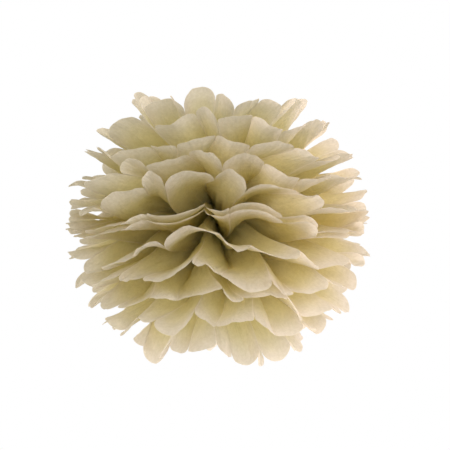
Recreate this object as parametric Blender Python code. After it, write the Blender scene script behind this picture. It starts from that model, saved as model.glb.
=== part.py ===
"""Tissue paper pom pom.

Twelve sheets of tissue are folded together like a fan, tied round the waist with a wire and
trimmed round at both ends. Each sheet is then pulled away from its neighbours, six up and six
down, so that its pleats open into two half rings of petals. Metres, +Z up. The origin is inside the
wire's hanging eye, where a thread bears. Each sheet is one closed solid, and the wire is another.
"""

import math
import random

import bpy

# Sizes of the paper before it was folded and trimmed
SHEET_LENGTH = 0.350
PLEAT_WIDTH = 0.0455
PLEATS = 11
TIP_ROUNDING = 0.020
TIP_SQUARENESS = 2.2
LOSS_ROUNDNESS = 4
PAPER_THICKNESS = 0.0003

# How the stack is gathered at the waist
WAIST_RADIUS = 0.0070
SHEET_GAP = 0.0004
SEAM_HALF_GAP = 0.0011
SEAM_ANGLE = 6.0

# How far each sheet is pulled from the middle of the stack, in degrees above or below it, and how
# far it is turned about the waist, so that it covers the seam between its neighbours' halves. The
# turn grows as this power of how loose the paper is, from the tied bundle to the free petals.
PULL_ANGLES = (0.9, 15.0, 28.0, 42.0, 58.0, 76.5)
SHEET_TURNS = (0.0, 6.5, -5.0, 7.0, -6.0, 5.0)
TURN_POWER = 2.0
STRIP_ANGLE = 90.0
BEND_LENGTH = 0.012
DROOP = 29.0

# The whole stack sways up and down round the ring: how far, how often and where it starts
SWAYS = ((4.5, 3, 20.0), (1.3, 4, 118.0))

# How deep the pleats stay open, as a share of what a pleat of this width would keep
FOLD_DEPTH = 0.62
FOLD_RAMP = 0.042
HUB_CLEARANCE = 0.0060
LEAST_SLOPE = 0.1
BUNDLE_LENGTH = 0.070
LOOSE_LENGTH = 0.155

# How unevenly the petals lie
CREASE_SHIFT = 0.12
CREASE_LEAST = 0.30
EDGE_SIDE = 0.25
TIP_CURL = 18.0
MIDDLE_CURL = 5.0
CURL_START = 0.105
CUP_DEPTH = 0.0050
CUP_SHARE = 0.16
REACH_LOSS = 0.006
BROAD_SHARE = 0.13
SEED = 18

# Rows of points along a pleat: distance from the waist, and how often a pleat is divided there
ROW_DISTANCES = (0.009, 0.026, 0.074, 0.120)
ROW_DIVISIONS = (1, 1, 1, 2)
TIP_DIVISIONS = 4
INTEGRATION_STEP = 0.003

# The wire
WIRE_RADIUS = 0.0005
WIRE_BEND_RADIUS = 0.0015
WIRE_CLEARANCE = 0.0003
TWIST_TURNS = 1
TWIST_LENGTH = 0.009
STRAND_GAP = 0.0003
EYE_RADIUS = 0.0045
EYE_OPENING = 50.0
STRAND_STEPS = 10 * TWIST_TURNS
CUT_STEPS = 1
ARC_STEPS = 3
EYE_STEPS = 12

SHEETS_EACH_WAY = len(PULL_ANGLES)
WAIST_SPACING = PAPER_THICKNESS + SHEET_GAP
HALF_LENGTH = SHEET_LENGTH / 2 - WAIST_RADIUS
STACK_TOP = (SHEETS_EACH_WAY - 0.5) * WAIST_SPACING + PAPER_THICKNESS / 2
WIRE_TOP = STACK_TOP + WIRE_CLEARANCE + WIRE_RADIUS
TWIST_RADIUS = WIRE_RADIUS + STRAND_GAP / 2
TWIST_START = WIRE_TOP + WIRE_RADIUS
EYE_CENTRE = TWIST_START + TWIST_LENGTH + EYE_RADIUS + WIRE_RADIUS
WAIST_BELOW_ORIGIN = EYE_CENTRE + EYE_RADIUS - WIRE_RADIUS

PAPER_COLOUR = (0.60, 0.50, 0.31, 1.0)
PAPER_ROUGHNESS = 0.9
WIRE_COLOUR = (0.55, 0.55, 0.56, 1.0)
WIRE_ROUGHNESS = 0.35


def smooth_step(value, low, high):
    """0 below low, 1 above high and a smooth rise between them."""
    share = min(1.0, max(0.0, (value - low) / (high - low)))
    return share * share * (3 - 2 * share)


def mix(first, second, share):
    return first + (second - first) * share


class Creases:
    """Where the creases of one half sheet lie: their share of the half ring, and their side of it."""

    def __init__(self, seed):
        draw = random.Random(seed)
        self.shares = []
        self.sides = []
        for crease in range(PLEATS + 1):
            side = 1 if crease % 2 else -1
            shift = BROAD_SHARE * side + CREASE_SHIFT * draw.uniform(-1, 1)
            inner = 0 < crease < PLEATS
            self.shares.append((crease + shift * inner) / PLEATS)
            self.sides.append(side * (draw.uniform(CREASE_LEAST, 1) if inner else EDGE_SIDE))

    def blended(self, crease, loose):
        """Share and side of a crease, from where all sheets have it to where this one has it."""
        share = mix(crease / PLEATS, self.shares[crease], loose)
        side = mix(1 if crease % 2 else -1, self.sides[crease], loose)
        return share, side


class Petals:
    """What is different from petal to petal in one half sheet. The lowest and highest curls are
    angles, and a petal curls upwards where its curl is above 0."""

    def __init__(self, seed, curl_seed, low, high):
        draw = random.Random(seed)
        self.cups = [draw.choice((-1, -1, 1)) for _ in range(PLEATS)]
        self.losses = [REACH_LOSS * draw.random() for _ in range(PLEATS)]
        draw = random.Random(curl_seed)
        self.curls = [math.radians(draw.uniform(low, high)) for _ in range(PLEATS)]

    def curl(self, place):
        """The curl of the tips, blended from each petal's middle to the next one's."""
        from_middle = min(max(place - 0.5, 0), PLEATS - 1)
        petal = min(int(from_middle), PLEATS - 2)
        return mix(self.curls[petal], self.curls[petal + 1], from_middle - petal)


def sway_at(angle):
    """How far the stack sways up at this angle round the ring."""
    return sum(
        math.radians(size) * math.sin(times * angle + math.radians(start))
        for size, times, start in SWAYS
    )


def pleat_depth(radius):
    """Half the depth of the zigzag that a pleat keeps where the ring of pleats has this radius."""
    pitch = (math.pi - math.radians(SEAM_ANGLE)) * radius / PLEATS
    return FOLD_DEPTH / 2 * math.sqrt(max(0.0, PLEAT_WIDTH**2 - pitch**2))


def tip_distance(place, petals):
    """Distance from the waist to the rounded end of a pleat, at a place counted in pleats."""
    petal = min(int(place), PLEATS - 1)
    across = abs(2 * (place - petal) - 1)
    rounding = 1 - (1 - min(across, 1) ** TIP_SQUARENESS) ** (1 / TIP_SQUARENESS)
    middle = 1 - across**LOSS_ROUNDNESS
    return HALF_LENGTH - TIP_ROUNDING * rounding - petals.losses[petal] * middle


class Sheet:
    """One sheet: number 0 lies next to the middle of the stack, and way is 1 for up or -1 for down."""

    def __init__(self, number, way):
        self.number = number
        self.way = way
        self.pull = math.radians(PULL_ANGLES[number])
        self.droop = math.radians(DROOP) * math.sin(self.pull)
        # A sheet sways less, the more upright it stands.
        self.swaying = way * math.cos(self.pull)
        self.level = (number + 0.5) * WAIST_SPACING
        self.curl_seed = SEED + 100 * number + (1 if way > 0 else 2)
        # The two middle sheets stay together, so their creases are drawn from the same seed.
        self.seed = SEED if number == 0 else self.curl_seed
        self.turn = math.radians(SHEET_TURNS[number])
        self.points = []
        self.faces = []

    def petals(self, half):
        """The petals of a half. Those of the middle sheets curl away from each other."""
        low, high = (-TIP_CURL, TIP_CURL) if self.number else sorted((0.0, self.way * MIDDLE_CURL))
        return Petals(self.seed + 10 * half + 5, self.curl_seed + 10 * half + 5, low, high)

    def profile(self, distance, curl, sway):
        """Radius, height and slope of the sheet, without its pleats, this far from the waist."""
        steps = max(1, math.ceil(distance / INTEGRATION_STEP))
        radius, height, slope = WAIST_RADIUS, self.level, 0.0
        for step in range(steps):
            along = (step + 0.5) * distance / steps
            slope = (self.pull + self.swaying * sway) * (1 - math.exp(-along / BEND_LENGTH))
            slope += self.way * curl * smooth_step(along, CURL_START, HALF_LENGTH)
            slope -= self.droop * smooth_step(along, 0, HALF_LENGTH)
            radius += math.cos(slope) * distance / steps
            height += math.sin(slope) * distance / steps
        return radius, height, slope

    def point(self, half, place, distance, creases, petals):
        """A point of the paper. half is 0 or 1, and place is counted in pleats across that half."""
        loose = smooth_step(distance, BUNDLE_LENGTH, LOOSE_LENGTH)
        pleat = min(int(place), PLEATS - 1)
        across = place - pleat
        share, side = creases.blended(pleat, loose)
        next_share, next_side = creases.blended(pleat + 1, loose)
        course = math.radians(STRIP_ANGLE) + math.pi * half
        sway = sway_at(course + math.pi * (place / PLEATS - 0.5))
        radius, height, slope = self.profile(distance, petals.curl(place), sway)
        reach = math.pi / 2 - math.asin(SEAM_HALF_GAP / radius)
        reach -= math.radians(SEAM_ANGLE) / 2 * loose
        depth = min(
            pleat_depth(radius) * min(1.0, distance / FOLD_RAMP),
            (radius - HUB_CLEARANCE) / max(math.sin(slope), LEAST_SLOPE),
        )
        # The bulge of a petal is square to its pleat, so it goes partly sideways.
        width = (next_share - share) * 2 * reach * radius
        rise = depth * (next_side - side)
        bulge = petals.cups[pleat] * min(CUP_DEPTH, CUP_SHARE * width)
        bulge *= 4 * across * (1 - across) * loose / math.hypot(width, rise)
        offset = self.way * (depth * mix(side, next_side, across) + bulge * width)
        angle = mix(-reach, reach, mix(share, next_share, across)) - bulge * rise / radius
        radius -= offset * math.sin(slope)
        height += offset * math.cos(slope)
        angle += course + self.turn * loose**TURN_POWER
        return radius * math.cos(angle), radius * math.sin(angle), self.way * height

    def row(self, half, distance, divisions, creases, petals):
        """Adds one row of points across a half sheet, and returns their places and indices."""
        made = []
        for step in range(PLEATS * divisions + 1):
            place = step / divisions
            far = distance if distance is not None else tip_distance(place, petals)
            made.append((place, len(self.points)))
            self.points.append(self.point(half, place, far, creases, petals))
        return made

    def stitch(self, inner, outer):
        """Fills the band between two rows, whose points need not be as many, with triangles."""
        i = j = 0
        while i < len(inner) - 1 or j < len(outer) - 1:
            next_inner = inner[i + 1][0] if i < len(inner) - 1 else math.inf
            next_outer = outer[j + 1][0] if j < len(outer) - 1 else math.inf
            if next_outer <= next_inner:
                self.faces.append((inner[i][1], outer[j][1], outer[j + 1][1]))
                j += 1
            else:
                self.faces.append((inner[i][1], outer[j][1], inner[i + 1][1]))
                i += 1

    def build(self, name, material):
        """The sheet as a mesh object: the waist, then both halves row by row out to the petals."""
        waist = []
        for half in (0, 1):
            creases = Creases(self.seed + 10 * half)
            petals = self.petals(half)
            inner = self.row(half, 0.0, 1, creases, petals)
            waist += [index for _, index in inner]
            for distance, divisions in zip(ROW_DISTANCES, ROW_DIVISIONS):
                outer = self.row(half, distance, divisions, creases, petals)
                self.stitch(inner, outer)
                inner = outer
            self.stitch(inner, self.row(half, None, TIP_DIVISIONS, creases, petals))
        self.faces.append(tuple(waist))
        mesh = bpy.data.meshes.new(name)
        mesh.from_pydata(self.points, [], self.faces)
        mesh.materials.append(material)
        sheet = bpy.data.objects.new(name, mesh)
        sheet.location.z = -WAIST_BELOW_ORIGIN
        bpy.context.scene.collection.objects.link(sheet)
        paper = sheet.modifiers.new("Paper", "SOLIDIFY")
        paper.thickness = PAPER_THICKNESS
        paper.offset = 0
        paper.use_even_offset = True
        return sheet


def clear_scene():
    for existing in list(bpy.data.objects):
        bpy.data.objects.remove(existing)


def make_material(name, colour, roughness, metallic):
    material = bpy.data.materials.new(name)
    material.use_nodes = True
    shader = material.node_tree.nodes["Principled BSDF"]
    shader.inputs["Base Color"].default_value = colour
    shader.inputs["Roughness"].default_value = roughness
    shader.inputs["Metallic"].default_value = metallic
    return material


def arc(centre, radius, first, last, steps, axes):
    """Points on an arc from one angle to another, in degrees, in the plane of two axes."""
    made = []
    for step in range(steps + 1):
        angle = math.radians(mix(first, last, step / steps))
        across, up = radius * math.cos(angle), radius * math.sin(angle)
        made.append(tuple(c + across * a + up * b for c, a, b in zip(centre, *axes)))
    return made


def strand(first_angle, steps):
    """One strand of the twist, from the bottom up."""
    made = []
    for step in range(steps + 1):
        share = step / steps
        angle = math.radians(first_angle + 360 * TWIST_TURNS * share)
        x, y = TWIST_RADIUS * math.cos(angle), TWIST_RADIUS * math.sin(angle)
        made.append((x, y, TWIST_START + TWIST_LENGTH * share))
    return made


def wire_path():
    """The middle of the wire: down one strand, round the waist, up the other and round the eye."""
    side = WAIST_RADIUS + WIRE_CLEARANCE + WIRE_RADIUS
    corner = WIRE_BEND_RADIUS
    plane = ((0, 1, 0), (0, 0, 1))
    top, bottom = WIRE_TOP, -WIRE_TOP
    ring = []
    for y_sign, z_level, first in (
        (-1, top - corner, 90),
        (-1, bottom + corner, 180),
        (1, bottom + corner, 270),
        (1, top - corner, 360),
    ):
        centre = (0, y_sign * (side - corner), z_level)
        ring += arc(centre, corner, first, first + 90, ARC_STEPS, plane)
    down = list(reversed(strand(180, STRAND_STEPS)))[CUT_STEPS:]
    up = strand(0, STRAND_STEPS)
    eye = arc(
        (0, 0, EYE_CENTRE),
        EYE_RADIUS,
        -90 + EYE_OPENING / 2,
        270 - EYE_OPENING / 2,
        EYE_STEPS,
        ((1, 0, 0), (0, 0, 1)),
    )
    return down + ring + up + eye


def make_wire(material):
    """The tie wire, as a curve with a round section and closed ends."""
    curve = bpy.data.curves.new("tie_wire", "CURVE")
    curve.dimensions = "3D"
    curve.bevel_depth = WIRE_RADIUS
    curve.bevel_resolution = 2
    curve.use_fill_caps = True
    path = wire_path()
    spline = curve.splines.new("POLY")
    spline.points.add(len(path) - 1)
    for point, place in zip(spline.points, path):
        point.co = (*place, 1.0)
    curve.materials.append(material)
    wire = bpy.data.objects.new("tie_wire", curve)
    wire.location.z = -WAIST_BELOW_ORIGIN
    # The wire lies in the seam between the two halves.
    wire.rotation_euler.z = math.radians(STRIP_ANGLE)
    bpy.context.scene.collection.objects.link(wire)
    return wire


def main():
    clear_scene()
    paper = make_material("tissue_paper", PAPER_COLOUR, PAPER_ROUGHNESS, 0.0)
    steel = make_material("tie_wire", WIRE_COLOUR, WIRE_ROUGHNESS, 1.0)
    for number in range(SHEETS_EACH_WAY):
        for way, word in ((1, "up"), (-1, "down")):
            Sheet(number, way).build(f"sheet_{word}_{number + 1}", paper)
    make_wire(steel)


main()
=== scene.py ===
"""Looks of a tissue paper pom pom: twelve pleated sheets tied at the waist and opened into petals.

Metres, +Z up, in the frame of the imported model. Every sheet is the thin paper itself, as one open
surface, with its pleats, rounded petals, cups, curls and crumples.
"""

import sys
import logging
import math
import random
from collections.abc import Iterator, Sequence
from dataclasses import dataclass, field
from enum import Enum, IntEnum

import bmesh
import bpy
import numpy as np
from mathutils import Matrix, Vector
from numpy.typing import NDArray


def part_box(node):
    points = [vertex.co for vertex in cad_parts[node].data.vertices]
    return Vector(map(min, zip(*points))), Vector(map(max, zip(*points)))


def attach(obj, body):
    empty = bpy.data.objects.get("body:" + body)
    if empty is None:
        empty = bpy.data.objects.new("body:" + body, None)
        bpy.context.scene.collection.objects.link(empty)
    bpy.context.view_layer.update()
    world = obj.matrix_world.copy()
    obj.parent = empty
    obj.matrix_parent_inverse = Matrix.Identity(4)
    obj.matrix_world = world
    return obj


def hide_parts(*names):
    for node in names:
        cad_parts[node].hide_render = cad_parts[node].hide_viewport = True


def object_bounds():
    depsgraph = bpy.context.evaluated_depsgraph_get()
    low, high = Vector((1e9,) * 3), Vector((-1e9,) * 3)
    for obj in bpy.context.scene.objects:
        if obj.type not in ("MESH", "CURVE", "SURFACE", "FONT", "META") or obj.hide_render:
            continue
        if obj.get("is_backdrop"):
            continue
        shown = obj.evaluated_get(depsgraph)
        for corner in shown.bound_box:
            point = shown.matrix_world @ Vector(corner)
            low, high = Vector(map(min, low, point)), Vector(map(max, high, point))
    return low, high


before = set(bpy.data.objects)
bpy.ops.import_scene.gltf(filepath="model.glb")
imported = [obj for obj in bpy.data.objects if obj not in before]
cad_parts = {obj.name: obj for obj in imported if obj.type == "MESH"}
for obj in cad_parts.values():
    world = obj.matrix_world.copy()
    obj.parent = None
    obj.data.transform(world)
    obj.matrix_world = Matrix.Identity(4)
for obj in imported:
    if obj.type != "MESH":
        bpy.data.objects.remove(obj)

Array = NDArray[np.float64]
Counts = NDArray[np.int64]
Colour = tuple[float, float, float]
Point = tuple[float, float, float]
Source = bpy.types.Node | bpy.types.NodeSocket

LOG = logging.getLogger("pom_pom")
FLAT_PAPER = "flat_paper"
FROM_EDGE = "from_edge"
WHITE: Colour = (1.0, 1.0, 1.0)
LEAST_LENGTH = 1e-12


def smooth_step(value: Array | float, low: float, high: float) -> Array:
    """0 below low, 1 above high and a smooth rise between them."""
    share = np.clip((np.asarray(value, dtype=float) - low) / (high - low), 0.0, 1.0)
    return share * share * (3 - 2 * share)


def mix(first: Array | float, second: Array | float, share: Array | float) -> Array | float:
    """The value this share of the way from the first to the second."""
    return first + (second - first) * share


def hang(name: str, data: bpy.types.ID) -> bpy.types.Object:
    """Makes an object of a mesh, curve, lamp or camera.

    Args:
        name: The object's name.
        data: What it is made of.

    Returns:
        The object, in the scene.
    """
    made = bpy.data.objects.new(name, data)
    bpy.context.scene.collection.objects.link(made)
    return made


class Way(Enum):
    """The way a sheet is pulled from the middle of the stack."""

    UP = 1
    DOWN = -1

    @property
    def word(self) -> str:
        """The way as it stands in a sheet's name."""
        return self.name.lower()

    @property
    def seed_step(self) -> int:
        """What the way adds to a sheet's seed."""
        return 1 if self is Way.UP else 2


class Trait(IntEnum):
    """What a random draw of a half sheet is for. Its number is added to the half's seed."""

    SPOONS = 0
    CRUMPLES = 1
    WRINKLES = 2
    GATHERS = 3
    FLUTTER = 4
    PETALS = 5
    TIPS = 6


@dataclass(frozen=True)
class Strip:
    """The stack of tissue as it was folded, trimmed round and tied, before it was pulled apart."""

    sheet_length: float = 0.350
    sheet_width: float = 0.500
    pleat_width: float = 0.0455
    pleats: int = 11
    # The ends are trimmed round, and the petals differ a little in length.
    tip_rounding: float = 0.020
    tip_squareness: float = 2.2
    reach_loss: float = 0.006
    loss_roundness: float = 4.0
    # The wire draws the middle together, with a seam on each side between the two halves.
    waist_radius: float = 0.0070
    sheet_spacing: float = 0.0007
    paper_thickness: float = 0.0003
    seam_half_gap: float = 0.0011
    seam_angle: float = 6.0
    area_steps: int = 40

    @property
    def half_length(self) -> float:
        """From the edge of the waist to the tips."""
        return self.sheet_length / 2 - self.waist_radius

    def petals_at(self, places: Array) -> Counts:
        """The number of the petal at each place, counted in pleats."""
        return np.minimum(places.astype(int), self.pleats - 1)

    def tip_distance(self, places: Array, losses: Array) -> Array:
        """Distance from the waist to the rounded end of a pleat.

        Args:
            places: Places across a half sheet, counted in pleats.
            losses: How much shorter each petal is.

        Returns:
            The distance at each place.
        """
        petals = self.petals_at(places)
        across = np.minimum(np.abs(2 * (places - petals) - 1), 1.0)
        rounding = 1 - (1 - across**self.tip_squareness) ** (1 / self.tip_squareness)
        middle = 1 - across**self.loss_roundness
        return self.half_length - self.tip_rounding * rounding - losses[petals] * middle

    def flat_area(self) -> float:
        """Works out the area of one sheet after its ends were trimmed round.

        Returns:
            The area, with petals of the middle length.
        """
        places = np.linspace(0, self.pleats, self.area_steps * self.pleats + 1)
        losses = np.full(self.pleats, self.reach_loss / 2)
        reach = self.waist_radius + float(np.mean(self.tip_distance(places, losses)))
        return 2 * reach * self.pleats * self.pleat_width


@dataclass(frozen=True)
class Opening:
    """How the sheets were pulled apart, in degrees and metres."""

    # Each sheet's angle to the level and its turn about the waist, from the middle outwards.
    pull_angles: tuple[float, ...] = (0.9, 15.0, 28.0, 42.0, 58.0, 76.5)
    sheet_turns: tuple[float, ...] = (0.0, 6.5, -5.0, 7.0, -6.0, 5.0)
    turn_power: float = 2.0
    # A sheet bends up at the waist and droops on the way out.
    bend_length: float = 0.012
    droop: float = 29.0
    # Each sway's size, how often it comes round the ring, and where it starts.
    sways: tuple[tuple[float, int, float], ...] = ((4.5, 3, 20.0), (1.3, 4, 118.0))
    # Shares of their depth that the pleats keep, in the petals and in the tied bundle.
    fold_depth: float = 0.62
    inner_fold_depth: float = 0.80
    fold_ramp: float = 0.042
    hub_clearance: float = 0.0060
    least_slope: float = 0.1
    # The pleats are even up to the first distance from the waist, and loose past the second.
    bundle_length: float = 0.070
    loose_length: float = 0.155
    # Shares of a pleat's width by which its creases shift, and of its depth at which they lie.
    crease_shift: float = 0.12
    broad_share: float = 0.13
    crease_least: float = 0.30
    edge_side: float = 0.25
    # The petals curl lengthways, and cup from crease to crease.
    tip_curl: float = 18.0
    middle_curl: float = 5.0
    curl_start: float = 0.105
    cup_depth: float = 0.0050
    cup_share: float = 0.16
    cup_sides: tuple[int, ...] = (-1, -1, 1)
    strip_angle: float = 90.0
    seed: int = 18

    def sway_at(self, angles: Array) -> Array:
        """How far the stack sways up at these angles round the ring."""
        return sum(
            math.radians(size) * np.sin(times * angles + math.radians(start))
            for size, times, start in self.sways
        )


@dataclass(frozen=True)
class RippleKind:
    """One kind of ripple. Its slant is how far its waves' courses spread, in radians."""

    height: float
    length: float
    count: int
    slant: float = math.pi


@dataclass(frozen=True)
class Softness:
    """How the thin paper gives between its creases, beyond the main form of the petals."""

    crease_rounding: float = 0.45
    spoon_depth: float = 0.0030
    own_bend: float = 0.0040
    tip_bend: float = 0.0060
    bend_reach: float = 0.045
    # The paper gives in the middle between two creases, and hardly beside them.
    bell_power: float = 0.8
    free_from: float = 0.6
    crumples: RippleKind = RippleKind(0.0007, 0.034, 5)
    wrinkles: RippleKind = RippleKind(0.0002, 0.011, 7)
    gathers: RippleKind = RippleKind(0.0036, 0.0065, 6, 0.12)
    flutter: RippleKind = RippleKind(0.0005, 0.016, 5, 0.9)
    # Distances from the waist between which each of them comes in or fades out.
    give_rise: tuple[float, float] = (0.05, 0.14)
    wrinkle_rise: tuple[float, float] = (0.02, 0.07)
    gather_rise: tuple[float, float] = (0.004, 0.03)
    gather_fade: tuple[float, float] = (0.05, 0.13)


STRIP = Strip()
OPENING = Opening()
SOFTNESS = Softness()


class Ripples:
    """Waves in random directions across the flat paper, drawn from a seed."""

    shortest = 0.6
    longest = 1.5
    mean_fold = 2 / math.pi

    def __init__(self, seed: int, kind: RippleKind) -> None:
        """Draws the waves.

        Args:
            seed: Seed of the draw.
            kind: What ripples they are.
        """
        draw = np.random.default_rng(seed)
        angles = draw.uniform(-kind.slant / 2, kind.slant / 2, kind.count)
        lengths = kind.length * draw.uniform(self.shortest, self.longest, kind.count)
        self.across = 2 * math.pi * np.cos(angles) / lengths
        self.along = 2 * math.pi * np.sin(angles) / lengths
        self.starts = draw.uniform(0, 2 * math.pi, kind.count)
        self.scale = math.sqrt(kind.count)

    def waves(self, u: Array, v: Array) -> Iterator[Array]:
        """Each wave by itself, from -1 to 1."""
        for across, along, start in zip(self.across, self.along, self.starts):
            yield np.sin(across * u + along * v + start)

    def soft(self, u: Array, v: Array) -> Array:
        """The waves' sum, as round hills."""
        return sum(self.waves(u, v)) / self.scale

    def kinked(self, u: Array, v: Array) -> Array:
        """The waves' sum, as flat facets that meet in creases."""
        return sum(np.abs(wave) - self.mean_fold for wave in self.waves(u, v)) / self.scale


@dataclass
class HalfSheet:
    """What is different from crease to crease and petal to petal in one half of a sheet."""

    seed: int
    curl_seed: int
    lowest_curl: float
    highest_curl: float
    strip: Strip = STRIP
    opening: Opening = OPENING
    shares: Array = field(init=False)
    sides: Array = field(init=False)
    curls: Array = field(init=False)
    cups: Array = field(init=False)
    losses: Array = field(init=False)

    def __post_init__(self) -> None:
        """Draws the creases, then the petals, in the order that the solid sheets have them."""
        self.draw_creases()
        self.draw_petals()
        self.draw_curls()

    def draw_creases(self) -> None:
        """Sets each crease's share of the half ring and the side of it that it lies on."""
        draw = random.Random(self.seed)
        pleats, opening = self.strip.pleats, self.opening
        shares, sides = [], []
        for crease in range(pleats + 1):
            side = 1 if crease % 2 else -1
            shift = opening.broad_share * side + opening.crease_shift * draw.uniform(-1, 1)
            inner = 0 < crease < pleats
            shares.append((crease + shift * inner) / pleats)
            depth = draw.uniform(opening.crease_least, 1) if inner else opening.edge_side
            sides.append(side * depth)
        self.shares, self.sides = np.array(shares), np.array(sides)

    def draw_petals(self) -> None:
        """Sets each petal's cup and loss of length."""
        draw = random.Random(self.seed + Trait.PETALS)
        pleats = range(self.strip.pleats)
        self.cups = np.array([draw.choice(self.opening.cup_sides) for _ in pleats], dtype=float)
        self.losses = np.array([self.strip.reach_loss * draw.random() for _ in pleats])

    def draw_curls(self) -> None:
        """Sets each petal's curl, which is upwards where it is above 0."""
        draw = random.Random(self.curl_seed + Trait.PETALS)
        low, high = self.lowest_curl, self.highest_curl
        self.curls = np.radians([draw.uniform(low, high) for _ in range(self.strip.pleats)])

    def blended(self, creases: Counts, loose: Array) -> tuple[Array, Array]:
        """Blends creases from the tied bundle's even pleats to this sheet's own.

        Args:
            creases: The creases' numbers.
            loose: How loose the pleats are, from 0 to 1.

        Returns:
            The share and the side of each crease.
        """
        share = mix(creases / self.strip.pleats, self.shares[creases], loose)
        side = mix(np.where(creases % 2, 1.0, -1.0), self.sides[creases], loose)
        return share, side

    def between_petals(self, values: Array, places: Array) -> Array:
        """Blends values of the petals from each petal's middle to the next one's.

        Args:
            values: One value for each petal.
            places: Places across the half sheet, counted in pleats.

        Returns:
            The value at each place.
        """
        from_middle = np.clip(places - 0.5, 0, self.strip.pleats - 1)
        petal = np.minimum(from_middle.astype(int), self.strip.pleats - 2)
        return mix(values[petal], values[petal + 1], from_middle - petal)


@dataclass
class TissueSheet:
    """One sheet. Number 0 lies next to the middle of the stack.

    Its halves are numbered too: 0 is the half at the back, and 1 the half at the front.
    """

    number: int
    way: Way
    waist_z: float
    columns_per_pleat: int = 18
    rows: int = 60
    crease_crowding: float = 0.8
    integration_steps: int = 160
    sheet_seed_step: int = 100
    half_seed_step: int = 10
    strip: Strip = STRIP
    opening: Opening = OPENING
    softness: Softness = SOFTNESS

    @property
    def name(self) -> str:
        """The piece's name."""
        return f"tissue_{self.way.word}_{self.number + 1}"

    @property
    def node(self) -> str:
        """The node of the model that the piece stands for."""
        return f"sheet_{self.way.word}_{self.number + 1}"

    @property
    def curl_seed(self) -> int:
        """Seed of this sheet's curls."""
        return self.opening.seed + self.sheet_seed_step * self.number + self.way.seed_step

    @property
    def seed(self) -> int:
        """The two middle sheets stay together, so their creases are the same."""
        return self.curl_seed if self.number else self.opening.seed

    def half_seed(self, half: int) -> int:
        """Seed of all but the curls of one half."""
        return self.seed + self.half_seed_step * half

    def petals(self, half: int) -> HalfSheet:
        """Draws the petals of a half. Those of the middle sheets curl away from each other.

        Args:
            half: The half's number.

        Returns:
            The petals.
        """
        opening = self.opening
        low, high = -opening.tip_curl, opening.tip_curl
        if self.number == 0:
            low, high = sorted((0.0, self.way.value * opening.middle_curl))
        curl_seed = self.curl_seed + self.half_seed_step * half
        return HalfSheet(self.half_seed(half), curl_seed, low, high)

    def pleat_depth(self, radius: Array, loose: Array) -> Array:
        """Half the depth of the zigzag that a pleat keeps.

        Args:
            radius: The ring's radius at each point.
            loose: How loose the pleats are there, from 0 to 1.

        Returns:
            The depth at each point.
        """
        strip = self.strip
        pitch = (math.pi - math.radians(strip.seam_angle)) * radius / strip.pleats
        kept = mix(self.opening.inner_fold_depth, self.opening.fold_depth, loose)
        return kept / 2 * np.sqrt(np.maximum(0.0, strip.pleat_width**2 - pitch**2))

    def profile(self, distance: Array, curl: Array, sway: Array) -> tuple[Array, Array, Array]:
        """The sheet's course without its pleats.

        Args:
            distance: Distances from the waist, row by row and column by column.
            curl: The curl of the tips in each column.
            sway: How far the stack sways up in each column.

        Returns:
            Radius, height and slope at each distance.
        """
        opening, strip, way = self.opening, self.strip, self.way.value
        pull = math.radians(opening.pull_angles[self.number])
        droop = math.radians(opening.droop) * math.sin(pull)
        step = strip.half_length / self.integration_steps
        along = (np.arange(self.integration_steps) + 0.5)[:, None] * step
        # A sheet sways less, the more upright it stands.
        swaying = way * math.cos(pull)
        curling = smooth_step(along, opening.curl_start, strip.half_length)
        slope = (pull + swaying * sway[None, :]) * (1 - np.exp(-along / opening.bend_length))
        slope = slope + way * curl[None, :] * curling
        slope = slope - droop * smooth_step(along, 0, strip.half_length)
        ends = np.arange(self.integration_steps + 1) * step
        level = (self.number + 0.5) * strip.sheet_spacing
        radius, height, leaning = (np.empty_like(distance) for _ in range(3))
        for column in range(distance.shape[1]):
            out = np.concatenate([[0], np.cumsum(np.cos(slope[:, column])) * step])
            up = np.concatenate([[0], np.cumsum(np.sin(slope[:, column])) * step])
            radius[:, column] = strip.waist_radius + np.interp(distance[:, column], ends, out)
            height[:, column] = level + np.interp(distance[:, column], ends, up)
            leaning[:, column] = np.interp(distance[:, column], along[:, 0], slope[:, column])
        return radius, height, leaning * np.minimum(1.0, distance / step)

    def places(self) -> Array:
        """Sets out the columns, closer together at the creases, where the tips turn most.

        Returns:
            Their places across a half sheet, counted in pleats.
        """
        steps = np.arange(self.columns_per_pleat * self.strip.pleats + 1) / self.columns_per_pleat
        pleat = self.strip.petals_at(steps)
        across = steps - pleat
        return pleat + mix(across, (1 - np.cos(math.pi * across)) / 2, self.crease_crowding)

    def main_form(
        self, half: int, petals: HalfSheet, places: Array, distance: Array
    ) -> tuple[Array, Array]:
        """The pleated petals of a half sheet.

        Args:
            half: The half's number.
            petals: What is different from petal to petal.
            places: Places of the columns, counted in pleats.
            distance: Distances from the waist, row by row and column by column.

        Returns:
            A point for each row and column, and the sheet's upward side there without its pleats.
        """
        opening, strip, way = self.opening, self.strip, self.way.value
        loose = smooth_step(distance, opening.bundle_length, opening.loose_length)
        pleat = strip.petals_at(places)
        across = (places - pleat)[None, :]
        # Between two creases the paper eases out of one fold and into the next.
        rounding = self.softness.crease_rounding * loose
        eased = mix(across, smooth_step(across, 0, 1), rounding)
        creases = np.broadcast_to(pleat, distance.shape)
        share, side = petals.blended(creases, loose)
        next_share, next_side = petals.blended(creases + 1, loose)
        course = math.radians(opening.strip_angle) + math.pi * half
        sway = opening.sway_at(course + math.pi * (places / strip.pleats - 0.5))
        curl = petals.between_petals(petals.curls, places)
        radius, height, slope = self.profile(distance, curl, sway)
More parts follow.
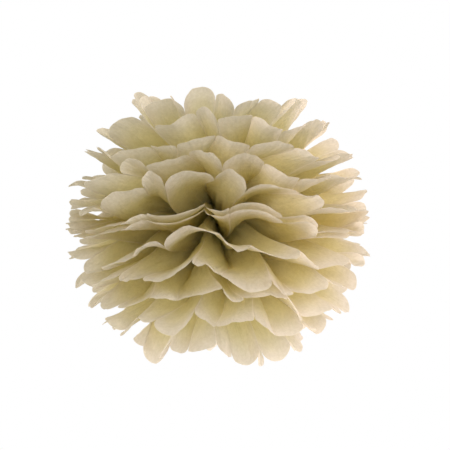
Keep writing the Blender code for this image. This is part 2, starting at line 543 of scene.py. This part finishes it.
        # The half ring stops short of the seams. Past the bundle they open into wedges.
        reach = math.pi / 2 - np.arcsin(strip.seam_half_gap / radius)
        reach = reach - math.radians(strip.seam_angle) / 2 * loose
        depth = np.minimum(
            self.pleat_depth(radius, loose) * np.minimum(1.0, distance / opening.fold_ramp),
            (radius - opening.hub_clearance) / np.maximum(np.sin(slope), opening.least_slope),
        )
        width = (next_share - share) * 2 * reach * radius
        rise = depth * (next_side - side)
        # A cup stands square to the slanting paper from crease to crease, deepest in its middle.
        cup = np.minimum(opening.cup_depth, opening.cup_share * width)
        bulge = petals.cups[pleat][None, :] * cup
        bulge = bulge * 4 * across * (1 - across) * loose / np.hypot(width, rise)
        offset = way * (depth * mix(side, next_side, eased) + bulge * width)
        angle = mix(-reach, reach, mix(share, next_share, across)) - bulge * rise / radius
        radius = radius - offset * np.sin(slope)
        height = height + offset * np.cos(slope)
        turn = math.radians(opening.sheet_turns[self.number])
        angle = angle + course + turn * loose**opening.turn_power
        outward = np.stack([np.cos(angle), np.sin(angle), np.zeros_like(angle)], axis=-1)
        upward = np.array([0.0, 0.0, 1.0])
        points = outward * radius[..., None] + upward * (way * height)[..., None]
        lift = upward * np.cos(slope)[..., None] - outward * (way * np.sin(slope))[..., None]
        return points, lift

    @staticmethod
    def normals(points: Array) -> Array:
        """The upward side of the paper.

        Args:
            points: The paper's points, row by row and column by column.

        Returns:
            The direction at each point, of length 1.
        """
        down_rows = np.gradient(points, axis=0)
        down_columns = np.gradient(points, axis=1)
        found = np.cross(down_rows, down_columns)
        found /= np.maximum(np.linalg.norm(found, axis=-1, keepdims=True), LEAST_LENGTH)
        return found if found[..., 2].mean() > 0 else -found

    def give(self, half: int, places: Array, distance: Array) -> Array:
        """How far the soft paper between the creases stands off the main form.

        Args:
            half: The half's number.
            places: Places of the columns, counted in pleats.
            distance: Distances from the waist.

        Returns:
            The distance along the paper's upward side at each point.
        """
        soft, strip = self.softness, self.strip
        seed = self.half_seed(half)
        draw = np.random.default_rng(seed + Trait.SPOONS)
        pleat = strip.petals_at(places)
        across = places - pleat
        bell = (np.sin(math.pi * across) ** soft.bell_power)[None, :]
        free = smooth_step(bell, 0.0, soft.free_from)
        u = np.broadcast_to(places * strip.pleat_width, distance.shape)
        v = distance
        out = smooth_step(v, *soft.give_rise)
        spoons = draw.uniform(-1, 1, strip.pleats)[pleat][None, :]
        bends = draw.uniform(-1, 1, strip.pleats)[pleat][None, :]
        to_tip = self.to_tip(distance)
        made = (soft.spoon_depth * spoons * out + soft.own_bend * bends * to_tip) * bell
        crumples = Ripples(seed + Trait.CRUMPLES, soft.crumples).kinked(u, v)
        made = made + soft.crumples.height * out * free * crumples
        wrinkles = Ripples(seed + Trait.WRINKLES, soft.wrinkles).kinked(u, v)
        made = made + soft.wrinkles.height * smooth_step(v, *soft.wrinkle_rise) * free * wrinkles
        near_waist = smooth_step(v, *soft.gather_rise) * (1 - smooth_step(v, *soft.gather_fade))
        gathers = Ripples(seed + Trait.GATHERS, soft.gathers).kinked(u, v)
        made = made + soft.gathers.height * near_waist * gathers
        flutter = Ripples(seed + Trait.FLUTTER, soft.flutter).soft(u, v)
        return made + soft.flutter.height * to_tip * free * flutter

    def to_tip(self, distance: Array) -> Array:
        """0 on most of the paper, rising to 1 at its cut edge."""
        reach = self.softness.bend_reach
        return np.clip((distance - distance[-1][None, :] + reach) / reach, 0, 1) ** 2

    def tip_bends(self, half: int, petals: HalfSheet, places: Array, distance: Array) -> Array:
        """How far the tips bend up together, from one petal's middle to the next one's.

        Args:
            half: The half's number.
            petals: What is different from petal to petal.
            places: Places of the columns, counted in pleats.
            distance: Distances from the waist.

        Returns:
            The distance along the sheet's upward side at each point.
        """
        draw = np.random.default_rng(self.half_seed(half) + Trait.TIPS)
        bends = draw.uniform(-1, 1, self.strip.pleats)
        shared = petals.between_petals(bends, places)[None, :]
        return self.softness.tip_bend * shared * self.to_tip(distance)

    def half_points(self, half: int) -> tuple[Array, Array, Array]:
        """Lays out the points of a half sheet.

        Args:
            half: The half's number.

        Returns:
            The points, their places on the flat paper, and their distances from its cut edge.
        """
        petals = self.petals(half)
        places = self.places()
        tips = self.strip.tip_distance(places, petals.losses)
        distance = np.linspace(0, 1, self.rows + 1)[:, None] * tips[None, :]
        points, lift = self.main_form(half, petals, places, distance)
        points = points + self.normals(points) * self.give(half, places, distance)[..., None]
        points = points + lift * self.tip_bends(half, petals, places, distance)[..., None]
        across = np.broadcast_to(places * self.strip.pleat_width, distance.shape)
        along = (1 if half == 0 else -1) * (self.strip.waist_radius + distance)
        return points, np.stack([across, along], axis=-1), tips[None, :] - distance

    def surface(self) -> tuple[Array, Array, Array, list[list[int]]]:
        """Joins the tied waist and both halves out to their petals.

        Returns:
            The points, their places on the flat paper, their distances from its cut edge, and the
            faces.
        """
        points, flats, edges, faces = [], [], [], []
        rings: list[int] = []
        start = 0
        for half in (0, 1):
            grid, flat, to_edge = self.half_points(half)
            rows, columns = grid.shape[:2]
            index = start + np.arange(rows * columns).reshape(rows, columns)
            quads = (index[:-1, :-1], index[1:, :-1], index[1:, 1:], index[:-1, 1:])
            faces += np.stack(quads, axis=-1).reshape(-1, 4).tolist()
            points.append(grid.reshape(-1, 3))
            flats.append(flat.reshape(-1, 2))
            edges.append(to_edge.ravel())
            rings += index[0].tolist()
            start += rows * columns
        # A fan of triangles from the middle closes the waist inside the two halves' first rows.
        ring = np.concatenate(points)[rings]
        points.append(ring.mean(axis=0, keepdims=True))
        flats.append(np.array([[self.strip.sheet_width / 2, 0.0]]))
        edges.append(np.array([self.strip.half_length]))
        faces += [[first, second, start] for first, second in zip(rings, rings[1:] + rings[:1])]
        return np.concatenate(points), np.concatenate(flats), np.concatenate(edges), faces

    def build(self) -> bpy.types.Object:
        """Makes the sheet's mesh, with its flat paper as the UV map.

        Returns:
            The sheet.
        """
        points, flats, edges, faces = self.surface()
        mesh = bpy.data.meshes.new(self.name)
        mesh.from_pydata((points + np.array([0, 0, self.waist_z])).tolist(), [], faces)
        layer = mesh.uv_layers.new(name=FLAT_PAPER)
        corner_points = np.empty(len(mesh.loops), dtype=np.int32)
        mesh.loops.foreach_get("vertex_index", corner_points)
        layer.data.foreach_set("uv", flats[corner_points].ravel())
        from_edge = mesh.attributes.new(name=FROM_EDGE, type="FLOAT", domain="POINT")
        from_edge.data.foreach_set("value", edges)
        mesh.shade_smooth()
        return hang(self.name, mesh)


@dataclass(frozen=True)
class Noise:
    """One noise: its scale, its fine detail, that detail's strength, and its share in a mix."""

    scale: float
    detail: float
    roughness: float = 0.5
    share: float = 1.0


class Nodes:
    """The nodes of a material or a world, linked by their sockets' names or places."""

    colour_inputs = (6, 7)
    colour_output = 2
    mottle_from = 0.3
    mottle_to = 0.7

    def __init__(self, owner: bpy.types.Material | bpy.types.World) -> None:
        """Empties the node tree.

        Args:
            owner: The material or the world.
        """
        owner.use_nodes = True
        self.owner = owner
        self.tree = owner.node_tree
        self.tree.nodes.clear()

    def add(
        self, kind: str, values: dict[str | int, object] | None = None, **settings: object
    ) -> bpy.types.Node:
        """Adds a node.

        Args:
            kind: The node's type.
            values: What its inputs are set or linked to, by name or place.
            **settings: The node's own settings.

        Returns:
            The node.
        """
        node = self.tree.nodes.new(kind)
        for setting, value in settings.items():
            setattr(node, setting, value)
        for key, value in (values or {}).items():
            self.put(node.inputs[key], value)
        return node

    def put(self, socket: bpy.types.NodeSocket, value: object) -> None:
        """Links a socket to another's output, or sets its own value.

        Args:
            socket: The socket.
            value: A node, whose first output is taken, or a socket, or a value.
        """
        if isinstance(value, bpy.types.Node):
            value = value.outputs[0]
        if isinstance(value, bpy.types.NodeSocket):
            self.tree.links.new(value, socket)
        elif isinstance(value, tuple) and len(value) == 3 and socket.type == "RGBA":
            socket.default_value = (*value, 1.0)
        else:
            socket.default_value = value

    def ramp(self, factor: Source, stops: Sequence[tuple[float, Colour]]) -> bpy.types.Node:
        """Adds a colour ramp.

        Args:
            factor: What runs along the ramp.
            stops: Places on the ramp and their colours, from low to high.

        Returns:
            The ramp.
        """
        node = self.add("ShaderNodeValToRGB", {"Fac": factor})
        elements = node.color_ramp.elements
        while len(elements) > len(stops):
            elements.remove(elements[-1])
        while len(elements) < len(stops):
            elements.new(1.0)
        for element, (place, colour) in zip(elements, stops):
            element.position = place
            element.color = (*colour, 1.0)
        return node

    def mottle(self, factor: Source, colour: Colour, darkest: float) -> bpy.types.Node:
        """Adds a colour that a noise darkens in patches, down to this share of it."""
        dark = tuple(darkest * part for part in colour)
        return self.ramp(factor, ((self.mottle_from, dark), (self.mottle_to, colour)))

    def blend(self, share: Source, first: object, second: object) -> bpy.types.NodeSocket:
        """Adds a mix of two colours.

        Args:
            share: The second colour's share.
            first: The first colour.
            second: The second colour.

        Returns:
            The mixed colour's socket.
        """
        node = self.add("ShaderNodeMix", {0: share}, data_type="RGBA")
        for place, colour in zip(self.colour_inputs, (first, second)):
            self.put(node.inputs[place], colour)
        return node.outputs[self.colour_output]

    def math(self, operation: str, *values: object) -> bpy.types.Node:
        """Adds one operation on numbers."""
        return self.add("ShaderNodeMath", dict(enumerate(values)), operation=operation)

    def noise(self, noise: Noise, vector: Source | None = None) -> bpy.types.NodeSocket:
        """Adds a noise.

        Args:
            noise: What noise it is.
            vector: The places that it is taken at, or None for the object's own box.

        Returns:
            The socket of its values, from 0 to 1.
        """
        values = {"Scale": noise.scale, "Detail": noise.detail, "Roughness": noise.roughness}
        if vector is not None:
            values["Vector"] = vector
        return self.add("ShaderNodeTexNoise", values).outputs["Fac"]

    def stretched(self, vector: Source, share: float) -> bpy.types.Node:
        """Adds a mapping that draws a pattern out along the sheet, by one over this share."""
        return self.add("ShaderNodeMapping", {"Vector": vector, "Scale": (1.0, share, 1.0)})

    def rise(self, value: Source, low: float, high: float) -> bpy.types.Node:
        """Adds a smooth rise from 0 at the low value to 1 at the high one."""
        values = {"Value": value, "From Min": low, "From Max": high}
        return self.add("ShaderNodeMapRange", values, interpolation_type="SMOOTHSTEP")

    def near(self, distance: Source, reach: float) -> bpy.types.Node:
        """Adds a smooth fall from 1 at a line to 0 at this distance off it."""
        values = {"Value": distance, "From Max": reach, "To Min": 1.0, "To Max": 0.0}
        return self.add("ShaderNodeMapRange", values, interpolation_type="SMOOTHSTEP")

    def finish(self, surface: bpy.types.Node) -> bpy.types.Material | bpy.types.World:
        """Links the surface to the output.

        Args:
            surface: The last shader.

        Returns:
            The material or the world.
        """
        world = isinstance(self.owner, bpy.types.World)
        kind = "ShaderNodeOutputWorld" if world else "ShaderNodeOutputMaterial"
        self.add(kind, {"Surface": surface})
        return self.owner


@dataclass(frozen=True)
class TissueFinish:
    """Thin matte dyed tissue that lets part of the light through.

    Its colours stand for the cloudy paper's thick and thin places, at the tips and, under a painted
    olive shade, towards the waist; for painted light in the deep hollow at the waist itself; and
    for the painted highlights along its creases and cut edges.
    """

    name: str = "champagne_tissue"
    tip_thin: Colour = (0.805, 0.728, 0.640)
    tip_thick: Colour = (0.635, 0.560, 0.445)
    # Painted shade: darker olive copies of the paper towards the waist, where the hollows lie in
    # shade.
    painted_shade_thin: Colour = (0.765, 0.695, 0.385)
    painted_shade_thick: Colour = (0.625, 0.565, 0.275)
    through_tip: Colour = (0.815, 0.740, 0.570)
    # The light let through also takes a painted olive shade towards the waist.
    through_painted_shade: Colour = (0.845, 0.750, 0.385)
    # Painted light: a brighter colour in the deep hollow at the waist, where little light reaches.
    near_waist: Colour = (0.900, 0.850, 0.480)
    # Painted highlight along the creases and cut edges, where they catch the light.
    painted_highlight: Colour = (0.920, 0.830, 0.700)
    through_share: float = 0.48
    roughness: float = 0.90
    specular: float = 0.15
    # Distances from the cut edge over which the tips' colour fades into the painted olive shade,
    # and the painted light of the hollow at the waist comes in.
    fade_reach: float = 0.050
    hollow_light_from: float = 0.070
    hollow_light_to: float = 0.130
    clouds: Noise = Noise(250.0, 3.0, 0.6, share=0.5)
    patches: Noise = Noise(70.0, 2.0, share=0.3)
    fibres: Noise = Noise(900.0, 2.0, 0.7, share=0.2)
    fibre_stretch: float = 0.22
    thick_at: float = 0.40
    thin_at: float = 0.60
    wrinkles: Noise = Noise(120.0, 5.0, 0.62)
    streaks: Noise = Noise(210.0, 2.0, share=1.2)
    streak_stretch: float = 0.13
    relief: float = 0.00110
    # Widths and strengths of the painted highlights along the creases and the cut edge.
    crease_highlight_reach: float = 0.0013
    crease_highlight_share: float = 0.85
    edge_highlight_reach: float = 0.0012
    edge_highlight_share: float = 0.75

    def grain(self, nodes: Nodes, flat: Source) -> bpy.types.Node:
        """Adds the paper's clouds and fibres.

        Args:
            nodes: The paper's nodes.
            flat: Places on the flat paper.

        Returns:
            How thin the paper is, from 0 to 1.
        """
        clouds = nodes.noise(self.clouds, flat)
        patches = nodes.noise(self.patches, flat)
        fibres = nodes.noise(self.fibres, nodes.stretched(flat, self.fibre_stretch))
        fine = nodes.math("MULTIPLY", fibres, self.fibres.share)
        mixed = nodes.math("MULTIPLY_ADD", patches, self.patches.share, fine)
        return nodes.math("MULTIPLY_ADD", clouds, self.clouds.share, mixed)

    def height(self, nodes: Nodes, flat: Source) -> bpy.types.Node:
        """Adds the paper's crumples, and its straight wrinkles from the tied waist to the petals.

        Args:
            nodes: The paper's nodes.
            flat: Places on the flat paper.

        Returns:
            The relief's height.
        """
        streaks = nodes.noise(self.streaks, nodes.stretched(flat, self.streak_stretch))
        wrinkles = nodes.noise(self.wrinkles, flat)
        return nodes.math("MULTIPLY_ADD", streaks, self.streaks.share, wrinkles)

    def painted_highlight_lines(self, nodes: Nodes, flat: Source, to_edge: Source) -> bpy.types.Node:
        """Adds the painted highlights: pale lines along the creases and round the cut edge.

        Args:
            nodes: The paper's nodes.
            flat: Places on the flat paper.
            to_edge: Distances from the cut edge.

        Returns:
            The share of the painted highlight's colour.
        """
        across = nodes.add("ShaderNodeSeparateXYZ", {"Vector": flat}).outputs["X"]
        to_crease = nodes.math("PINGPONG", across, STRIP.pleat_width / 2)
        near_crease = nodes.near(to_crease, self.crease_highlight_reach)
        crease_highlight = nodes.math("MULTIPLY", near_crease, self.crease_highlight_share)
        edge_highlight = nodes.math("MULTIPLY", nodes.near(to_edge, self.edge_highlight_reach), self.edge_highlight_share)
        return nodes.math("MAXIMUM", crease_highlight, edge_highlight)

    def material(self) -> bpy.types.Material:
        """Makes the paper, whose clouds, fibres and painted highlights at the folds lie in the
        sheet as it was cut.

        Returns:
            The material.
        """
        nodes = Nodes(bpy.data.materials.new(self.name))
        flat = nodes.add("ShaderNodeUVMap", uv_map=FLAT_PAPER).outputs["UV"]
        to_edge = nodes.add("ShaderNodeAttribute", attribute_name=FROM_EDGE).outputs["Fac"]
        # Painted shade: outward is the share of the tips' colour, which gives way to the painted
        # olive shade towards the waist.
        outward = nodes.near(to_edge, self.fade_reach)
        # Painted light in the deep hollow at the waist.
        hollow_light_share = nodes.rise(to_edge, self.hollow_light_from, self.hollow_light_to)
        grain = self.grain(nodes, flat)
        tip = nodes.ramp(grain, ((self.thick_at, self.tip_thick), (self.thin_at, self.tip_thin)))
        # The paper towards the waist, in painted olive shade.
        waist = nodes.ramp(
            grain, ((self.thick_at, self.painted_shade_thick), (self.thin_at, self.painted_shade_thin))
        )
        face = nodes.blend(hollow_light_share, nodes.blend(outward, waist, tip), self.near_waist)
        # Painted highlights along the creases and the cut edge.
        face = nodes.blend(self.painted_highlight_lines(nodes, flat, to_edge), face, self.painted_highlight)
        # The light let through gets the same painted olive shade and the painted light of the
        # hollow.
        through = nodes.blend(outward, self.through_painted_shade, self.through_tip)
        through = nodes.blend(hollow_light_share, through, self.near_waist)
        values = {"Height": self.height(nodes, flat), "Distance": self.relief}
        bump = nodes.add("ShaderNodeBump", values)
        values = {
            "Base Color": face,
            "Roughness": self.roughness,
            "Specular IOR Level": self.specular,
            "Normal": bump,
        }
        front = nodes.add("ShaderNodeBsdfPrincipled", values)
        behind = nodes.add("ShaderNodeBsdfTranslucent", {"Color": through, "Normal": bump})
        values = {0: self.through_share, 1: front, 2: behind}
        return nodes.finish(nodes.add("ShaderNodeMixShader", values))


@dataclass(frozen=True)
class WireFinish:
    """Bare drawn steel wire, with fine die marks along it."""

    name: str = "drawn_steel_wire"
    colour: Colour = (0.56, 0.56, 0.57)
    roughness: float = 0.34
    marks: Noise = Noise(1800.0, 3.0)
    mark_shade: float = 0.8
    mark_depth: float = 0.00002

    def material(self) -> bpy.types.Material:
        """Makes the steel.

        Returns:
            The material.
        """
        nodes = Nodes(bpy.data.materials.new(self.name))
        place = nodes.add("ShaderNodeTexCoord").outputs["Object"]
        marks = nodes.noise(self.marks, place)
        values = {
            "Base Color": nodes.mottle(marks, self.colour, self.mark_shade),
            "Metallic": 1.0,
            "Roughness": self.roughness,
            "Normal": nodes.add("ShaderNodeBump", {"Height": marks, "Distance": self.mark_depth}),
        }
        return nodes.finish(nodes.add("ShaderNodeBsdfPrincipled", values))


@dataclass
class TieWire:
    """The wire round the waist, twisted and bent into the hanging eye."""

    waist_z: float
    strip: Strip = STRIP
    name: str = "waist_wire"
    node: str = "tie_wire"
    wire_radius: float = 0.0005
    bend_radius: float = 0.0015
    clearance: float = 0.0003
    twist_turns: int = 1
    twist_length: float = 0.009
    strand_gap: float = 0.0003
    eye_radius: float = 0.0045
    eye_opening: float = 50.0
    strand_steps: int = 40
    cut_steps: int = 4
    arc_steps: int = 10
    eye_steps: int = 48
    section_steps: int = 5

    @property
    def top(self) -> float:
        """Height of the wire's middle above the waist's where it crosses the stack."""
        sheets = (len(OPENING.pull_angles) - 0.5) * self.strip.sheet_spacing
        return sheets + self.strip.paper_thickness / 2 + self.clearance + self.wire_radius

    @property
    def twist_start(self) -> float:
        """Height at which the two strands start round each other."""
        return self.top + self.wire_radius

    def arc(
        self, centre: Point, radius: float, ends: tuple[float, float], steps: int, across: Point
    ) -> list[Vector]:
        """Sets out points on an upright arc.

        Args:
            centre: The arc's centre.
            radius: Its radius.
            ends: Its first and last angles, in degrees.
            steps: How many steps it has.
            across: The level direction of angle 0.

        Returns:
            The points, from the first angle to the last.
        """
        level, up = Vector(across), Vector((0, 0, 1))
        return [
            Vector(centre) + radius * (math.cos(angle) * level + math.sin(angle) * up)
            for angle in np.radians(np.linspace(*ends, steps + 1))
        ]

    def strand(self, first_angle: float) -> list[Vector]:
        """Sets out one strand of the twist.

        Args:
            first_angle: The side of the twist that it starts on, in degrees.

        Returns:
            Its points, from the bottom up.
        """
        radius = self.wire_radius + self.strand_gap / 2
        made = []
        for share in np.linspace(0, 1, self.strand_steps + 1):
            angle = math.radians(first_angle + 360 * self.twist_turns * share)
            height = self.twist_start + self.twist_length * share
            made.append(Vector((radius * math.cos(angle), radius * math.sin(angle), height)))
        return made

    def path(self) -> list[Vector]:
        """Sets out the middle of the wire.

        Returns:
            Its points: down one strand, round the waist, up the other strand and round the eye.
        """
        side = self.strip.waist_radius + self.clearance + self.wire_radius
        corner = self.bend_radius
        ring: list[Vector] = []
        # Each corner's side, the level of its centre, and its first angle.
        for y_sign, level, first in (
            (-1, self.top - corner, 90),
            (-1, corner - self.top, 180),
            (1, corner - self.top, 270),
            (1, self.top - corner, 360),
        ):
            centre = (0, y_sign * (side - corner), level)
            ring += self.arc(centre, corner, (first, first + 90), self.arc_steps, (0, 1, 0))
        down = list(reversed(self.strand(180)))[self.cut_steps:]
        centre = (0, 0, self.twist_start + self.twist_length + self.eye_radius + self.wire_radius)
        half = self.eye_opening / 2
        ends = (half - 90, 270 - half)
        eye = self.arc(centre, self.eye_radius, ends, self.eye_steps, (1, 0, 0))
        return down + ring + self.strand(0) + eye

    def build(self) -> bpy.types.Object:
        """Makes the wire as a curve with a round section and closed ends.

        Returns:
            The wire.
        """
        curve = bpy.data.curves.new(self.name, "CURVE")
        curve.dimensions = "3D"
        curve.bevel_depth = self.wire_radius
        curve.bevel_resolution = self.section_steps
        curve.use_fill_caps = True
        path = self.path()
        spline = curve.splines.new("POLY")
        spline.points.add(len(path) - 1)
        spline.use_smooth = True
        # The wire lies in the seam between the two halves.
        turn = Matrix.Rotation(math.radians(OPENING.strip_angle), 4, "Z")
        for point, place in zip(spline.points, path):
            point.co = (*(turn @ place + Vector((0, 0, self.waist_z))), 1.0)
        return hang(self.name, curve)


@dataclass
class PomPom:
    """The whole ball: twelve sheets of tissue and the wire that ties them."""

    paper: TissueFinish = TissueFinish()
    steel: WireFinish = WireFinish()
    strip: Strip = STRIP
    opening: Opening = OPENING

    def waist_z(self) -> float:
        """Height of the middle of the waist, worked out from the model's wire."""
        wire = TieWire(0.0)
        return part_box("tie_wire")[0][2] + wire.top + wire.wire_radius

    def build(self) -> list[bpy.types.Object]:
        """Builds and dresses every piece.

        Returns:
            The wire and the twelve sheets.
        """
        level = self.waist_z()
        maker = TieWire(level)
        wire = maker.build()
        wire.data.materials.append(self.steel.material())
        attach(wire, "root")
        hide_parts(maker.node)
        paper = self.paper.material()
        made = [wire]
        for number in range(len(self.opening.pull_angles)):
            for way in Way:
                sheet = TissueSheet(number, way, level)
                piece = sheet.build()
                piece.data.materials.append(paper)
                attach(piece, "root")
                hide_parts(sheet.node)
                maker.name
                self.strip.flat_area()
                made.append(piece)
        return made


@dataclass(frozen=True)
class SoftBox:
    """A large soft lamp that faces the ball."""

    name: str
    place: Point
    size: float
    power: float
    colour: Colour

    def build(self, aim: Vector) -> bpy.types.Object:
        """Hangs the lamp.

        Args:
            aim: The point that it faces.

        Returns:
            The lamp.
        """
        lamp = bpy.data.lights.new(self.name, "AREA")
        lamp.shape = "SQUARE"
        lamp.size = self.size
        lamp.energy = self.power
        lamp.color = self.colour
        made = hang(self.name, lamp)
        made.location = self.place
        made.rotation_euler = (aim - Vector(self.place)).to_track_quat("-Z", "Y").to_euler()
        return made


@dataclass(frozen=True)
class Studio:
    """A pale floor far below the hanging ball, soft light and the camera."""

    floor_name: str = "studio_floor"
    floor_drop: float = 0.75
    floor_radius: float = 2.6
    floor_segments: int = 96
    floor_colour: Colour = (0.86, 0.86, 0.86)
    floor_grain: Noise = Noise(40.0, 4.0)
    floor_shade: float = 0.98
    fade_from: float = 0.5
    fade_to_share: float = 0.9
    air_colour: Colour = (0.97, 1.0, 0.92)
    air_strength: float = 0.61
    lamps: tuple[SoftBox, ...] = (
        SoftBox("key", (1.55, -1.25, 0.70), 1.0, 16.0, (1.0, 0.93, 1.0)),
        SoftBox("side", (1.75, 0.80, 0.00), 1.2, 44.0, (0.98, 0.87, 1.0)),
        SoftBox("fill", (0.10, -2.10, 0.10), 1.4, 12.0, (1.0, 0.97, 0.95)),
        SoftBox("back", (-1.50, 1.15, 0.15), 1.2, 18.0, (1.0, 0.97, 0.97)),
    )
    # The picture's width is measured at the ball, and the ball's place in it in pixels.
    camera_distance: float = 1.50
    frame_width: float = 0.504
    frame_pixels: float = 450.0
    ball_left: float = 7.0
    ball_below: float = 2.0
    sensor_width: float = 36.0

    def floor(self, low: float) -> bpy.types.Object:
        """Makes the floor.

        Args:
            low: Height of the ball's lowest point.

        Returns:
            The floor.
        """
        mesh = bpy.data.meshes.new(self.floor_name)
        shape = bmesh.new()
        segments, radius = self.floor_segments, self.floor_radius
        bmesh.ops.create_circle(shape, cap_ends=True, segments=segments, radius=radius)
        shape.to_mesh(mesh)
        shape.free()
        floor = hang(self.floor_name, mesh)
        floor.location.z = low - self.floor_drop
        floor.data.materials.append(self.floor_material())
        floor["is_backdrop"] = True
        return floor

    def floor_material(self) -> bpy.types.Material:
        """Makes a pale matte floor that fades into the white backdrop away from the ball.

        Returns:
            The material.
        """
        nodes = Nodes(bpy.data.materials.new("pale_floor"))
        place = nodes.add("ShaderNodeTexCoord").outputs["Object"]
        far = nodes.add("ShaderNodeVectorMath", {0: place}, operation="LENGTH").outputs["Value"]
        fade = nodes.rise(far, self.fade_from, self.floor_radius * self.fade_to_share)
        path = nodes.add("ShaderNodeLightPath")
        seen = nodes.math("MULTIPLY", fade, path.outputs["Is Camera Ray"])
        shade = nodes.mottle(nodes.noise(self.floor_grain), self.floor_colour, self.floor_shade)
        matte = nodes.add("ShaderNodeBsdfDiffuse", {"Color": shade})
        glow = nodes.add("ShaderNodeEmission", {"Color": WHITE, "Strength": 1.0})
        return nodes.finish(nodes.add("ShaderNodeMixShader", {0: seen, 1: matte, 2: glow}))

    def air(self) -> bpy.types.World:
        """Lights the ball evenly from all round, and shows white to the camera.

        Returns:
            The world.
        """
        world = bpy.data.worlds.new("studio_air")
        bpy.context.scene.world = world
        nodes = Nodes(world)
        values = {"Color": self.air_colour, "Strength": self.air_strength}
        light = nodes.add("ShaderNodeBackground", values)
        white = nodes.add("ShaderNodeBackground", {"Color": WHITE, "Strength": 1.0})
        path = nodes.add("ShaderNodeLightPath").outputs
        either = nodes.math("MAXIMUM", path["Is Camera Ray"], path["Is Glossy Ray"])
        return nodes.finish(nodes.add("ShaderNodeMixShader", {0: either, 1: light, 2: white}))

    def camera(self, low: Vector, high: Vector) -> bpy.types.Object:
        """Makes the level camera, with the ball where the photograph has it.

        Args:
            low: The low corner of the model's box.
            high: The high corner.

        Returns:
            The camera.
        """
        pixel = self.frame_width / self.frame_pixels
        centre = (low + high) / 2
        lens = bpy.data.cameras.new("camera")
        lens.sensor_width = self.sensor_width
        lens.lens = self.sensor_width * self.camera_distance / self.frame_width
        camera = hang("camera", lens)
        camera.location = (
            centre.x + self.ball_left * pixel,
            centre.y - self.camera_distance,
            centre.z + self.ball_below * pixel,
        )
        camera.rotation_euler = (math.pi / 2, 0.0, 0.0)
        bpy.context.scene.camera = camera
        return camera

    def build(self, low: Vector, high: Vector) -> None:
        """Sets up the floor, the light and the camera.

        Args:
            low: The low corner of the model's box.
            high: The high corner.
        """
        self.floor(low.z)
        self.air()
        for lamp in self.lamps:
            lamp.build((low + high) / 2)
        self.camera(low, high)
        bpy.context.scene.view_settings.view_transform = "Standard"


def corners(found: Sequence[Sequence[float]]) -> list[list[float]]:
    """A box's corners as plain lists of numbers."""
    return [[float(value) for value in corner] for corner in found]


def main() -> None:
    """Builds the studio and the ball, and reports each piece."""
    logging.basicConfig(level=logging.INFO, format="%(name)s: %(message)s", stream=sys.stdout)
    model_box = corners(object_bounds())
    Studio().build(Vector(model_box[0]), Vector(model_box[1]))
    for piece in PomPom().build():
        count = len(piece.data.polygons) if piece.type == "MESH" else 0
        LOG.info("%s: %d faces", piece.name, count)


if __name__ == "__main__":
    main()
